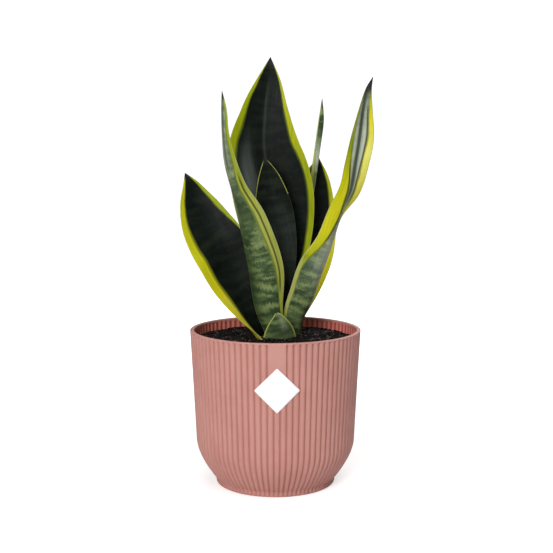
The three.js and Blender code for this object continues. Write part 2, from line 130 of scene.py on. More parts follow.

# ---- leaf tables -------------------------------------------------------------------------
# Each leaf has the stations of its CAD solid: x, y, z, half width, turn and dish. The margins
# are (height, width) pairs for the yellow border on the left and right edge, as seen from the
# front, where a width under 0 is no border. Tones are (height, tone) pairs: -1 is pale green,
# 0 olive, 1 bright yellow and 2 pale yellow. The tone is partly the margin's own colour and
# partly painted light: olive partly stands for a margin in shade, and pale green for a thin
# edge in a painted highlight. Lines are (height, offset) pairs on a side: a dark line that far
# inside the border, or in it where the offset is under 0. A midrib is darker above 0 and lighter
# under it, and keel is its half width. Tip is the length of the dark tip. The sheen spots are a
# painted sheen, a grey reflection, and the shading spots painted shade of a deeper green, as
# spots of (face, place across from -1 to 1, height, spread across, spread in height, amount).
# Fleck is how strongly the inner face is banded, and the edge highlight how strongly a painted
# highlight pales the very edge.
LEAVES = {
    "leaf_back_tall": {
        "thickness": 2.6,
        "crease": 0.25,
        "stations": [
            (2, 8, 107, 6, -90, 3),
            (2, 8, 125, 7.5, -90, 4),
            (3, 10, 164, 17, -90, 6.5),
            (2, 12, 202, 28.5, -90, 8),
            (-2, 14.5, 238, 33.5, -90, 7.5),
            (-9, 16.5, 272, 30.5, -90, 6),
            (-8.5, 19, 303, 20.5, -90, 4),
            (-5.5, 21.5, 329, 10.5, -90, 2),
            (-4, 23, 349, 0, -90, 0),
        ],
        "left": [(125, 2), (200, 4.5), (272, 6), (290, 6), (305, 4), (325, 2.4), (340, 0.6)],
        "right": [(125, 2), (200, 4.3), (250, 4.5), (280, 5.8), (305, 3.6), (325, 2), (342, 0.4)],
        "left_tone": [(120, 0), (350, 0.1)],
        "right_tone": [(120, 0), (250, 0.1), (280, 0.3), (350, 0.3)],
        "lines": {"right": [(200, 1.3), (312, 1.3)]},
        "midrib": [(240, 0), (270, -0.14), (315, -0.14), (335, 0)],
        "painted_sheen": [("inner", -0.5, 248, 0.16, 24, 0.75), ("inner", -0.3, 232, 0.1, 18, 0.55)],
    },
    "leaf_front_left": {
        "thickness": 2.4,
        "crease": 0.15,
        "stations": [
            (-0.5, -5.5, 107, 6.5, 82, 2.5),
            (-0.5, -5.5, 122, 7.5, 82, 3),
            (-5.5, -8.5, 148, 12, 78, 5.5),
            (-8, -10.5, 180, 15, 72, 8),
            (-18, -14, 217, 12.5, 65, 6.5),
            (-28.5, -16, 242, 8, 55, 4.5),
            (-35.5, -18, 264, 6.5, 49, 3),
            (-39, -20.5, 285, 4, 47, 1.5),
            (-40, -22.5, 304, 3, 45, 1),
            (-41.5, -24, 318.5, 0, 45, 0),
        ],
        "left": [(120, -3), (320, -3)],
        "right": [
            (125, 0.8),
            (150, 2),
            (165, 4),
            (200, 6),
            (225, 5.5),
            (245, 3.5),
            (262, 2),
            (318, 0.4),
        ],
        "left_tone": [(120, 0), (320, 0)],
        "right_tone": [(120, -0.3), (160, -0.5), (220, -0.7), (245, -0.3), (280, 0), (320, 0)],
        "lines": {"right": [(155, -1), (200, -2.7), (225, -2.4), (258, -1)]},
        "midrib": [(250, 0), (262, 0.6), (300, 0.7), (310, 0.5)],
        "painted_sheen": [("outer", 0.6, 286, 1.1, 30, 1), ("outer", 0.95, 246, 0.3, 22, 0.8)],
        "painted_shading": [
            ("outer", 0.3, 230, 1.2, 20, 0.9),
            ("outer", 0.9, 160, 0.6, 40, 0.9),
            ("outer", 0, 118, 2, 16, 0.8),
        ],
    },
    "leaf_centre_short": {
        "thickness": 2.2,
        "crease": 0.2,
        "stations": [
            (2.5, 1.5, 107, 4, -90, 2),
            (2.5, 1.5, 124, 5, -90, 2.5),
            (3, 2, 160, 11, -90, 4.5),
            (4, 2.5, 193, 13.5, -90, 5),
            (-1, 3.5, 223, 15.5, -90, 4.5),
            (-5, 5, 249, 9.5, -90, 2.5),
            (-9, 6.5, 268, 0, -90, 0),
        ],
        "left": [(120, -3), (215, -3), (225, 0.4), (270, 0.4)],
        "right": [(120, -3), (228, -3), (236, 0.35), (270, 0.35)],
        "left_tone": [(120, -0.8), (270, -0.8)],
        "right_tone": [(120, -0.6), (270, -0.6)],
        "fleck": 0.55,
        "edge_highlight": 0.05,
        "painted_sheen": [("inner", 0, 192, 1.5, 26, 0.15)],
    },
    "leaf_left": {
        "thickness": 2.6,
        "crease": 0.2,
        "stations": [
            (-9.5, -12, 107, 9.5, -3, 3.5),
            (-9.5, -12, 122, 11.5, -4, 4),
            (-18.5, -13, 145, 17, -46, 8),
            (-35, -10.5, 171, 20.5, -62, 8),
            (-43.5, -8.5, 192.5, 23.5, -70, 7),
            (-54.5, -4.5, 211.5, 21.5, -70, 6),
            (-62.5, 1, 228.5, 16, -70, 4),
            (-68.5, 6, 243.5, 8, -66, 2),
            (-74, 9, 254.5, 0, -60, 0),
        ],
        "left": [(115, 7), (140, 7.5), (165, 9), (190, 8), (215, 5.5), (240, 2.8), (254, 0.3)],
        "right": [(115, 0.6), (195, 0.6), (212, 2.6), (225, 3.6), (240, 2.6), (254, 0.3)],
        "left_tone": [(115, 1.1), (160, 1.1), (175, 0.85), (190, 0.7), (220, 0.6), (255, 0.4)],
        "right_tone": [(115, 0), (255, 0.1)],
    },
    "leaf_right_twisted": {
        "thickness": 2.4,
        "crease": 0.5,
        "stations": [
            (14, 4, 107, 8.5, 138, 3.5),
            (14, 4, 124, 9.5, 138, 4.5),
            (15.5, 3, 139, 12, 132, 6),
            (21.5, 0.5, 157, 13.5, 131, 7.5),
            (29.5, -5, 180, 14, 130, 6),
            (39.5, -11, 201, 9, 125, 4),
            (47.5, -18, 222.5, 7, 115, 3.5),
            (58.5, -25.5, 242, 8.5, 92, 3.5),
            (63.5, -30.5, 262, 9.5, 74, 3.5),
            (67.5, -32.5, 282.5, 9.5, 64, 3.5),
            (69.5, -33.5, 301, 6.5, 58, 2.5),
            (71.5, -34, 317.5, 3, 54, 1),
            (75, -35, 328.5, 0, 54, 0),
        ],
        "left": [
            (130, 1.3),
            (178, 1.7),
            (190, 3.4),
            (208, 6),
            (225, 8),
            (241, 6.5),
            (257, 5.4),
            (273, 4.2),
            (290, 3.2),
            (310, 2.2),
            (326, 0.4),
        ],
        "right": [
            (130, 0.4),
            (200, 0.5),
            (218, 2),
            (232, 4),
            (250, 5),
            (275, 4),
            (300, 2),
            (318, 0),
        ],
        "left_tone": [
            (130, -0.9),
            (178, -0.8),
            (190, 0.3),
            (210, 0.78),
            (250, 0.5),
            (290, -0.3),
            (320, -0.3),
        ],
        "right_tone": [
            (130, -1),
            (205, -1),
            (218, 0.7),
            (232, 1.1),
            (248, 1.4),
            (272, 1.8),
            (320, 0.3),
        ],
        "lines": {"left": [(196, 0.4), (268, 0.4)], "right": [(228, 1.1), (312, 1)]},
        "tip": 20,
        "midrib": [(205, 0), (222, 0.9), (300, 0.95), (325, 0.8)],
        "keel": 1.6,
        "painted_sheen": [("outer", -0.3, 268, 1.4, 58, 1), ("outer", -0.5, 198, 0.9, 26, 0.9)],
        "painted_shading": [("outer", -0.2, 130, 2, 14, 0.35)],
    },
    "leaf_front_stub": {
        "thickness": 2,
        "crease": 0.2,
        "stations": [
            (3.5, -14, 107, 12, 100, 3.5),
            (3.5, -14, 121, 13.5, 100, 4),
            (3, -16, 131, 10.5, 98, 3.5),
            (2, -18.5, 139, 5, 96, 1.5),
            (0.5, -20, 144, 0, 96, 0),
        ],
        "left": [(110, 0.9), (144, 0.5)],
        "right": [(110, 1.3), (144, 0.7)],
        "left_tone": [(110, -0.4), (144, -0.5)],
        "right_tone": [(110, -0.6), (144, -0.8)],
        "painted_sheen": [("outer", -0.35, 136, 0.3, 7, 0.3)],
        "painted_shading": [("outer", 0.0, 124, 1.5, 16, 0.75)],
    },
    "leaf_back_right": {
        "thickness": 2.4,
        "crease": 0.2,
        "stations": [
            (12, 24, 107, 6, -93, 2.5),
            (12.5, 24, 124, 7, -93, 3),
            (20, 28.5, 156, 16.5, -92, 5),
            (30.5, 32.5, 182.5, 17.5, -90, 5),
            (33, 35.5, 207.5, 18.5, -90, 5),
            (34.5, 38, 231.5, 15, -90, 4),
            (35, 39.5, 252.5, 9.5, -90, 2.5),
            (36.5, 41, 267.5, 0, -90, 0),
        ],
        "left": [(120, 2), (200, 3), (255, 2), (267, 0)],
        "right": [(120, 3), (150, 5), (200, 5), (235, 3.4), (255, 2), (267, 0)],
        "left_tone": [(120, 0.1), (267, 0.1)],
        "right_tone": [(120, 0.9), (200, 0.9), (235, 0.3), (267, 0.2)],
    },
    "leaf_back_narrow": {
        "thickness": 1.6,
        "crease": 0.2,
        "stations": [
            (11, 18.5, 107, 3.5, 130, 1),
            (11, 19, 124, 4, 130, 1.5),
            (17.5, 23, 165, 4, 133, 2),
            (23, 26.5, 203, 3, 135, 2),
            (29.5, 28, 237.5, 3, 135, 2),
            (34, 30, 268.5, 3, 135, 2),
            (38, 31, 296.5, 3, 130, 1),
            (39, 32, 316, 0, 130, 0),
        ],
        "left": [(120, 2.4), (240, 2.2), (258, 0.8), (272, 0.3), (316, 0)],
        "right": [(120, 1), (240, 1), (262, 0.3), (316, 0)],
        "left_tone": [(120, 0.1), (240, 0), (262, -0.6), (316, -0.8)],
        "right_tone": [(120, -0.2), (250, -0.4), (316, -0.8)],
        "painted_sheen": [("outer", 0, 268, 1.4, 12, 0.9), ("outer", -0.5, 240, 0.6, 20, 0.5)],
        "painted_shading": [("outer", 0, 288, 3, 9, 0.8)],
    },
}


# ---- small helpers -----------------------------------------------------------------------
def rgb(red, green, blue):
    """An sRGB colour, 0 to 255, as Blender's linear colour."""
    shares = np.array([red, green, blue]) / 255
    linear = np.where(shares <= 0.04045, shares / 12.92, ((shares + 0.055) / 1.055) ** 2.4)
    return (*(float(share) for share in linear), 1)


def smoothstep(value, low, high):
    share = np.clip((value - low) / (high - low), 0, 1)
    return share * share * (3 - 2 * share)


def keyed(pairs, heights):
    """Reads a list of (height, value) pairs at these heights."""
    return np.interp(heights, [pair[0] for pair in pairs], [pair[1] for pair in pairs])


def curve_through(stations, shares):
    """A Catmull-Rom curve through evenly timed stations: its points and its directions."""
    rows = np.array(stations, dtype=float)
    rows = np.vstack([2 * rows[0] - rows[1], rows, 2 * rows[-1] - rows[-2]])
    spans = len(rows) - 3
    first = np.minimum((shares * spans).astype(int), spans - 1)
    f = (shares * spans - first)[:, None]
    before, start, end, after = (rows[first + k] for k in range(4))
    leave = (end - before) / 2
    arrive = (after - start) / 2
    square = 3 * (end - start) - 2 * leave - arrive
    cube = 2 * (start - end) + leave + arrive
    points = start + leave * f + square * f**2 + cube * f**3
    slopes = leave + 2 * square * f + 3 * cube * f**2
    return points, slopes


def unit(vectors):
    return vectors / np.linalg.norm(vectors, axis=-1, keepdims=True)


def mesh_object(name, points, faces, attributes=None):
    """A smooth-shaded mesh object from points in millimetres."""
    mesh = bpy.data.meshes.new(name)
    mesh.from_pydata((np.asarray(points) * MM).tolist(), [], faces)
    for key, values in (attributes or {}).items():
        layer = mesh.attributes.new(key, "FLOAT", "POINT")
        layer.data.foreach_set("value", np.asarray(values, dtype=np.float32))
    mesh.update()
    mesh.shade_smooth()
    piece = bpy.data.objects.new(name, mesh)
    bpy.context.scene.collection.objects.link(piece)
    return piece


def ring_faces(rows, columns):
    """Faces of a tube of rings, with the last column joined to the first."""
    faces = []
    for row in range(rows - 1):
        low = row * columns
        high = low + columns
        for k in range(columns):
            n = (k + 1) % columns
            faces.append((low + k, low + n, high + n, high + k))
    return faces


def capped_tube(rings, first_middle, last_middle):
    """Points and faces of stacked rings, with each end closed round its middle point."""
    columns = len(rings[0])
    faces = ring_faces(len(rings), columns)
    first_cap = len(rings) * columns
    last_cap = first_cap + 1
    last = (len(rings) - 1) * columns
    for k in range(columns):
        n = (k + 1) % columns
        faces.append((first_cap, n, k))
        faces.append((last_cap, last + k, last + n))
    return np.vstack([*rings, first_middle, last_middle]), faces


def round_ring(radius, angles, height):
    """Points round the axis, where radius and height may differ from point to point."""
    x = radius * np.cos(angles)
    y = radius * np.sin(angles)
    return np.stack([x, y, height + 0 * angles], 1)


def place_piece(piece, node, material):
    piece.data.materials.append(material)
    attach(piece, "root")
    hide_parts(node)


# ---- node helpers ------------------------------------------------------------------------
class Shading:
    """A material's node tree, with short ways to add to it."""

    def __init__(self, name, roughness, specular):
        self.material = bpy.data.materials.new(name)
        self.material.use_nodes = True
        self.tree = self.material.node_tree
        self.shader = self.tree.nodes["Principled BSDF"]
        self.shader.inputs["Roughness"].default_value = roughness
        self.shader.inputs["Specular IOR Level"].default_value = specular

    def connect(self, socket, value):
        if isinstance(value, bpy.types.NodeSocket):
            self.tree.links.new(value, socket)
        elif value is not None:
            socket.default_value = value

    def finish(self, name, value):
        self.connect(self.shader.inputs[name], value)

    def attribute(self, name):
        node = self.tree.nodes.new("ShaderNodeAttribute")
        node.attribute_name = name
        return node.outputs["Fac"]

    def position(self):
        return self.tree.nodes.new("ShaderNodeTexCoord").outputs["Object"]

    def math(self, operation, first, second=None, third=None):
        node = self.tree.nodes.new("ShaderNodeMath")
        node.operation = operation
        for socket, value in zip(node.inputs, (first, second, third)):
            self.connect(socket, value)
        return node.outputs[0]

    def vector(self, x, y, z):
        node = self.tree.nodes.new("ShaderNodeCombineXYZ")
        for socket, value in zip(node.inputs, (x, y, z)):
            self.connect(socket, value)
        return node.outputs[0]

    def noise(self, vector, scale=1.0, detail=2.0, roughness=0.5, distortion=0.0):
        node = self.tree.nodes.new("ShaderNodeTexNoise")
        self.connect(node.inputs["Vector"], vector)
        node.inputs["Scale"].default_value = scale
        node.inputs["Detail"].default_value = detail
        node.inputs["Roughness"].default_value = roughness
        node.inputs["Distortion"].default_value = distortion
        return node.outputs["Fac"]

    def cells(self, vector, scale):
        node = self.tree.nodes.new("ShaderNodeTexVoronoi")
        self.connect(node.inputs["Vector"], vector)
        node.inputs["Scale"].default_value = scale
        return node.outputs["Distance"]

    def span(self, value, low, high, to_low=0.0, to_high=1.0):
        """Maps low..high smoothly to to_low..to_high."""
        node = self.tree.nodes.new("ShaderNodeMapRange")
        node.interpolation_type = "SMOOTHSTEP"
        for key, number in (
            ("Value", value),
            ("From Min", low),
            ("From Max", high),
            ("To Min", to_low),
            ("To Max", to_high),
        ):
            self.connect(node.inputs[key], number)
        return node.outputs[0]

    def mix(self, share, first, second):
        node = self.tree.nodes.new("ShaderNodeMix")
        node.data_type = "RGBA"
        self.connect(node.inputs["Factor"], share)
        self.connect(node.inputs[6], first)
        self.connect(node.inputs[7], second)
        return node.outputs[2]

    def clamped(self, value):
        node = self.tree.nodes.new("ShaderNodeClamp")
        self.connect(node.inputs["Value"], value)
        return node.outputs[0]

    def bump(self, height, distance, strength=1.0, normal=None):
        node = self.tree.nodes.new("ShaderNodeBump")
        node.inputs["Distance"].default_value = distance
        node.inputs["Strength"].default_value = strength
        self.connect(node.inputs["Height"], height)
        if normal is not None:
            self.connect(node.inputs["Normal"], normal)
        return node.outputs[0]


# ---- pot ---------------------------------------------------------------------------------
def body_bend(count):
    """Radius and height along the round lower body, from the foot to the shoulder."""
    t = np.linspace(0, 1, count)[:, None]
    start = np.array([BODY_START_RADIUS, FOOT_HEIGHT])
    end = np.array([SHOULDER_RADIUS, SHOULDER_HEIGHT])
    return (1 - t) ** 2 * start + 2 * t * (1 - t) * np.array(BODY_BULGE) + t**2 * end


def crest_profile():
    """Radius and height of the rib crests, from the foot's edge to the rim."""
    foot = [(48.2, 0), (48.9, 0.25), (FOOT_RADIUS, 0.9), (49.25, 2.4), (49.35, 3.6)]
    notch = [(49.4, 4.1), (49.55, 4.6), (50.1, 5.1)]
    body = [tuple(row) for row in body_bend(26)[2:]]
    flute_top = POT_HEIGHT - LIP_HEIGHT
    fade_start = flute_top - RIB_TOP_FADE - 0.1
    heights = [*np.linspace(SHOULDER_HEIGHT, fade_start, 34)[1:], flute_top - 0.3, flute_top]
    straight = [(float(wall_radius(height)), float(height)) for height in heights]
    return foot + notch + body + straight


def wall_radius(height):
    """Crest radius of the straight wall."""
    share = (height - SHOULDER_HEIGHT) / (POT_HEIGHT - SHOULDER_HEIGHT)
    return SHOULDER_RADIUS + share * (RIM_RADIUS - SHOULDER_RADIUS)


def rib_section():
    """How deep the surface lies under the crest at each column: 0 on a crest, 1 in a groove."""
    turns = np.arange(RIBS * COLUMNS_PER_RIB) / COLUMNS_PER_RIB
    off_crest = np.abs(turns - np.round(turns)) * 2
    groove = 1 - np.sqrt(1 - RIB_ROUNDNESS * off_crest**2)
    groove /= 1 - math.sqrt(1 - RIB_ROUNDNESS)
    from_front = np.minimum(turns, RIBS - turns)
    return groove, from_front


def outer_rings(groove, from_front):
    """Radius, height and groove depth of the ribbed outside, from the foot up."""
    flute_top = POT_HEIGHT - LIP_HEIGHT
    rings = []
    for radius, height in crest_profile():
        depth = groove * smoothstep(height, *RIB_FOOT_FADE)
        depth = depth * (1 - smoothstep(height, flute_top - RIB_TOP_FADE, flute_top))
        panel = smoothstep(height, PANEL_BOTTOM - 1, PANEL_BOTTOM + 1)
        depth = depth * (1 - (from_front < PANEL_RIBS / 2 - PANEL_EDGE) * panel)
        rings.append((radius - GROOVE_DEPTH * depth, height, depth))
    return rings


def lip_rings(plain):
    """The rounded top of the wall, from its outside over to its inside."""
    rings = []
    for turn in np.linspace(0, math.pi / 2, LIP_STEPS):
        radius = RIM_RADIUS - LIP_ROUNDING * (1 - math.cos(turn))
        rings.append((radius + plain, POT_HEIGHT - LIP_ROUNDING * (1 - math.sin(turn)), plain))
    for turn in np.linspace(math.pi / 2, 0, LIP_STEPS):
        radius = RIM_RADIUS - WALL + LIP_ROUNDING * (1 - math.cos(turn))
        rings.append((radius + plain, POT_HEIGHT - LIP_ROUNDING * (1 - math.sin(turn)), plain))
    return rings


def inner_rings(from_front, plain):
    """The inside, from under the lip down to the floor, where grooves count as under 0: these
    values paint light on the inside and shade in its grooves.
    """
    hollow = 0.5 + 0.5 * np.cos(2 * math.pi * from_front)
    near_lip = INNER_TOP - np.arange(6) * 0.5
    rings = []
    for height in np.concatenate([near_lip, np.linspace(115, SHOULDER_HEIGHT, 8)]):
        below_lip = smoothstep(INNER_TOP - height, 0, INNER_FADE)
        depth = hollow * below_lip
        painted_shading = -INNER_PLAIN_PAINTED_LIGHT * below_lip - (1 - INNER_PLAIN_PAINTED_LIGHT) * depth
        rings.append((wall_radius(height) - WALL + INNER_GROOVE_DEPTH * depth, height, painted_shading))
    for radius, height in body_bend(12)[::-1][1:-2]:
        rings.append((radius - WALL + plain, height, plain))
    rings.append((BODY_START_RADIUS - WALL + plain, FLOOR_TOP, plain))
    return rings


def build_pot():
    groove, from_front = rib_section()
    plain = np.zeros_like(groove)
    rings = outer_rings(groove, from_front) + lip_rings(plain) + inner_rings(from_front, plain)
    angles = FRONT_ANGLE + np.arange(len(groove)) * 2 * math.pi / len(groove)
    points, faces = capped_tube(
        [round_ring(radius, angles, height) for radius, height, _ in rings],
        (0, 0, 0),
        (0, 0, FLOOR_TOP),
    )
    depths = np.concatenate([*(depth for _, _, depth in rings), np.zeros(2)])
    pot = mesh_object("fluted_pot", points, faces, {"groove": depths})
    place_piece(pot, "pot", pot_material())


def pot_material():
    s = Shading("dusty_pink_plastic", 0.55, 0.45)
    place = s.position()
    groove = s.attribute("groove")
    mottle = s.noise(place, 45, 3)
    grain = s.noise(place, 2600, 2, 0.6)
    speck = s.span(s.cells(place, 900), 0.02, 0.1, 1, 0)
    colour = s.mix(s.span(mottle, 0.35, 0.7), rgb(201, 145, 135), rgb(195, 138, 128))
    # Painted shade: the grooves darken towards a deep red, more the deeper they are.
    colour = s.mix(s.clamped(s.math("MULTIPLY", groove, 0.5)), colour, rgb(158, 72, 54))
    # Painted light on the inside: a lighter, redder wall between its grooves, and painted shade of
    # a deep red in its hollows.
    inside = s.math("MULTIPLY", groove, -1.0)
    colour = s.mix(s.span(inside, 0, INNER_PLAIN_PAINTED_LIGHT), colour, rgb(226, 134, 120))
    inner_hollow_shade = s.span(inside, INNER_PLAIN_PAINTED_LIGHT, 1, 0, 0.8)
    colour = s.mix(inner_hollow_shade, colour, rgb(176, 70, 56))
    colour = s.mix(s.math("MULTIPLY", speck, 0.1), colour, rgb(226, 172, 162))
    s.finish("Base Color", colour)
    s.finish("Roughness", s.span(s.noise(place, 160, 3), 0.3, 0.7, 0.5, 0.62))
    s.finish("Normal", s.bump(grain, 0.00006, 0.6))
    return s.material


# ---- label -------------------------------------------------------------------------------
def label_grid(steps):
    """Places on a square that stands on one corner, from -1 to 1, with rounded corners."""
    share = np.linspace(-1, 1, steps)
    row, column = np.meshgrid(share, share, indexing="ij")
    corner = np.clip(np.abs(row) + np.abs(column) - 2 + LABEL_CORNER, 0, None) * 0.3
    row = row * (1 - corner)
    column = column * (1 - corner)
    return (column - row) / 2, (column + row) / 2


def sheet_faces(steps):
    """Faces of a square sheet: its front, its back, and the edge between them."""
    faces = []
    back = steps * steps
    for row in range(steps - 1):
        for column in range(steps - 1):
            a = row * steps + column
            faces.append((a, a + 1, a + steps + 1, a + steps))
            faces.append((back + a, back + a + steps, back + a + steps + 1, back + a + 1))
    border = list(range(steps))
    border += [row * steps + steps - 1 for row in range(1, steps)]
    border += [(steps - 1) * steps + column for column in range(steps - 2, -1, -1)]
    border += [row * steps for row in range(steps - 2, 0, -1)]
    for k, a in enumerate(border):
        b = border[(k + 1) % len(border)]
        faces.append((b, a, back + a, back + b))
    return faces


def build_label():
    """A thin sheet bent round the crests, with a soft edge."""
    across, up = label_grid(LABEL_STEPS)
    half = LABEL_DIAGONAL / 2
    height = LABEL_CENTRE + up * half
    angle = FRONT_ANGLE + across * half / wall_radius(LABEL_CENTRE)
    sides = np.abs(np.linspace(-1, 1, LABEL_STEPS))
    from_edge = 1 - np.maximum(sides[:, None], sides[None, :])
    share = LABEL_EDGE_SHARE + (1 - LABEL_EDGE_SHARE) * smoothstep(from_edge, 0, 0.03)
    points = []
    for lift in (LABEL_GAP + LABEL_THICKNESS * share, LABEL_GAP / 2):
        radius = wall_radius(height) + lift
        sheet = np.stack([radius * np.cos(angle), radius * np.sin(angle), height], -1)
        points.append(sheet.reshape(-1, 3))
    label = mesh_object("diamond_label", np.concatenate(points), sheet_faces(LABEL_STEPS))
    place_piece(label, "label", label_material())


def label_material():
    s = Shading("label_film", 0.38, 0.4)
    place = s.position()
    fibre = s.noise(place, 1500, 3)
    s.finish("Base Color", s.mix(s.span(fibre, 0.3, 0.7), rgb(255, 255, 255), rgb(252, 252, 252)))
    s.finish("Roughness", s.span(s.noise(place, 250, 2), 0.3, 0.7, 0.34, 0.46))
    s.finish("Normal", s.bump(fibre, 0.00002, 0.5))
    return s.material


# ---- soil --------------------------------------------------------------------------------
def lumpiness(x, y, waves):
    """A sum of seeded sine waves over the soil, from about -1 to 1."""
    total = np.zeros_like(x)
    for across, along, shift, size in waves:
        total += size * np.sin(across * x + along * y + shift)
    return total


def soil_waves(seed):
    random = np.random.default_rng(seed)
    waves = []
    for pitch, size in ((30, 0.3), (16, 0.25), (9, 0.25), (5, 0.2), (3, 0.15)):
        for _ in range(5):
            turn = random.uniform(0, 2 * math.pi)
            number = 2 * math.pi / pitch * random.uniform(0.8, 1.25)
            shift = random.uniform(0, 6.28)
            waves.append((number * math.cos(turn), number * math.sin(turn), shift, size / 2))
    return waves


SOIL_WAVES = soil_waves(11)
SOIL_RADIUS = float(wall_radius(SOIL_EDGE)) - WALL - SOIL_GAP


def soil_height(x, y):
    """The soil's surface: a low mound with lumps, a little lower than the CAD crown."""
    share = np.clip(np.hypot(x, y) / SOIL_RADIUS, 0, 1)
    mound = SOIL_EDGE + (SOIL_CROWN - SOIL_EDGE) * (1 - share**2) - SOIL_SUNK
    return mound + SOIL_LUMPS * lumpiness(x, y, SOIL_WAVES)


def build_soil_bed():
    """The mass of soil: a lumpy top, sides inside the pot's wall, and a flat bottom."""
    angles = np.arange(SOIL_COLUMNS) * 2 * math.pi / SOIL_COLUMNS
    bottom = FLOOR_TOP + SOIL_GAP
    sides = [(BODY_START_RADIUS - WALL - SOIL_SIDE_GAP, bottom)]
    sides += [(radius - WALL - SOIL_SIDE_GAP, height) for radius, height in body_bend(8)[2:]]
    sides += [(wall_radius(height) - WALL - SOIL_GAP, height) for height in (60, 85, 110)]
    rings = [round_ring(radius, angles, height) for radius, height in sides]
    for radius in SOIL_RADIUS * np.linspace(1, 0.02, SOIL_RINGS):
        height = soil_height(radius * np.cos(angles), radius * np.sin(angles))
        rings.append(round_ring(radius, angles, height))
    crown = soil_height(np.zeros(1), np.zeros(1))[0]
    points, faces = capped_tube(rings, (0, 0, bottom), (0, 0, crown))
    bed = mesh_object("soil_bed", points, faces, {"tint": np.full(len(points), BED_TINT)})
    place_piece(bed, "soil", MATERIALS["soil"])


def crumb_shape(random):
    """A rough pebble: the eight corners and six faces of a box, pulled about."""
    corners = np.array([(x, y, z) for x in (-1, 1) for y in (-1, 1) for z in (-1, 1)], dtype=float)
    faces = [(0, 1, 3, 2), (4, 6, 7, 5), (0, 4, 5, 1), (2, 3, 7, 6), (0, 2, 6, 4), (1, 5, 7, 3)]
    points = list(corners * 0.72)
    triangles = []
    for face in faces:
        points.append(sum(corners[k] for k in face) / 4 * 1.05)
        middle = len(points) - 1
        triangles += [(face[k], face[(k + 1) % 4], middle) for k in range(4)]
    points = np.array(points)
    points += random.normal(0, CRUMB_ROUGHNESS, points.shape)
    return points, triangles


def crumb_place(random):
    """Where a crumb lies on the soil, and how big it is."""
    radius = SOIL_RADIUS * math.sqrt(random.uniform(0, 0.985))
    turn = random.uniform(0, 2 * math.pi)
    size = CRUMB_SIZE + CRUMB_EXTRA * random.uniform() ** 3
    return radius * math.cos(turn), radius * math.sin(turn), size


def turned_crumb(random, size):
    """One crumb or fibre about the origin: its points and its faces."""
    points, faces = crumb_shape(random)
    stretch = random.uniform(0.6, 1.5, 3)
    if random.uniform() < FIBRE_SHARE:
        stretch = np.array(FIBRE_STRETCH)
    points = points * size * stretch
    spin = random.uniform(0, 2 * math.pi)
    turned = points.copy()
    turned[:, 0] = points[:, 0] * math.cos(spin) - points[:, 1] * math.sin(spin)
    turned[:, 1] = points[:, 0] * math.sin(spin) + points[:, 1] * math.cos(spin)
    return turned, faces


def build_crumbs():
    """Grains of soil and short fibres over the bed."""
    random = np.random.default_rng(23)
    all_points, all_faces, tints = [], [], []
    count = 0
    for _ in range(CRUMBS):
        x, y, size = crumb_place(random)
        points, faces = turned_crumb(random, size)
        lift = size * random.uniform(-0.1, 0.5)
        height = float(soil_height(np.array([x]), np.array([y]))[0]) + lift
        points = points + [x, y, height]
        if np.hypot(points[:, 0], points[:, 1]).max() > SOIL_RADIUS:
            continue
        all_points.append(points)
        all_faces += [tuple(count + k for k in face) for face in faces]
        tints.append(np.full(len(points), random.uniform() ** 2.2))
        count += len(points)
    values = {"tint": np.concatenate(tints)}
    crumbs = mesh_object("soil_crumbs", np.vstack(all_points), all_faces, values)
    crumbs.data.shade_flat()
    place_piece(crumbs, "soil", MATERIALS["soil"])


def soil_material():
    s = Shading("potting_soil", 0.95, 0.15)
    place = s.position()
    tint = s.attribute("tint")
    clod = s.noise(place, 700, 4, 0.65)
    colour = s.mix(s.span(clod, 0.35, 0.7), rgb(3, 2, 2), rgb(14, 8, 7))
    colour = s.mix(s.span(tint, 0.45, 1), colour, rgb(112, 88, 80))
    s.finish("Base Color", colour)
    s.finish("Roughness", s.span(clod, 0.3, 0.7, 0.85, 1))
    s.finish("Normal", s.bump(clod, 0.0006, 0.9))
    return s.material


# ---- leaves ------------------------------------------------------------------------------
def leaf_sections(leaf):
    """Every cross-section's middle, side, inward direction, half width, dish and length."""
    shares = np.linspace(0, 1, LEAF_ROWS + 1)[:-1]
    stations = np.array(leaf["stations"], dtype=float)
    middle, tangent = curve_through(stations[:, :3], shares)
    shape, _ = curve_through(stations[:, 3:], shares)
    tangent = unit(tangent)
    turn = np.radians(shape[:, 1])
    facing = np.stack([np.cos(turn), np.sin(turn), np.zeros_like(turn)], 1)
    inward = unit(facing - tangent * np.sum(facing * tangent, 1, keepdims=True))
    side = np.cross(tangent, inward)
    steps = np.linalg.norm(np.diff(middle, axis=0), axis=1)
    length = np.concatenate([[0], np.cumsum(steps)])
    return middle, side, inward, np.maximum(shape[:, 0], 0.02), shape[:, 2], length


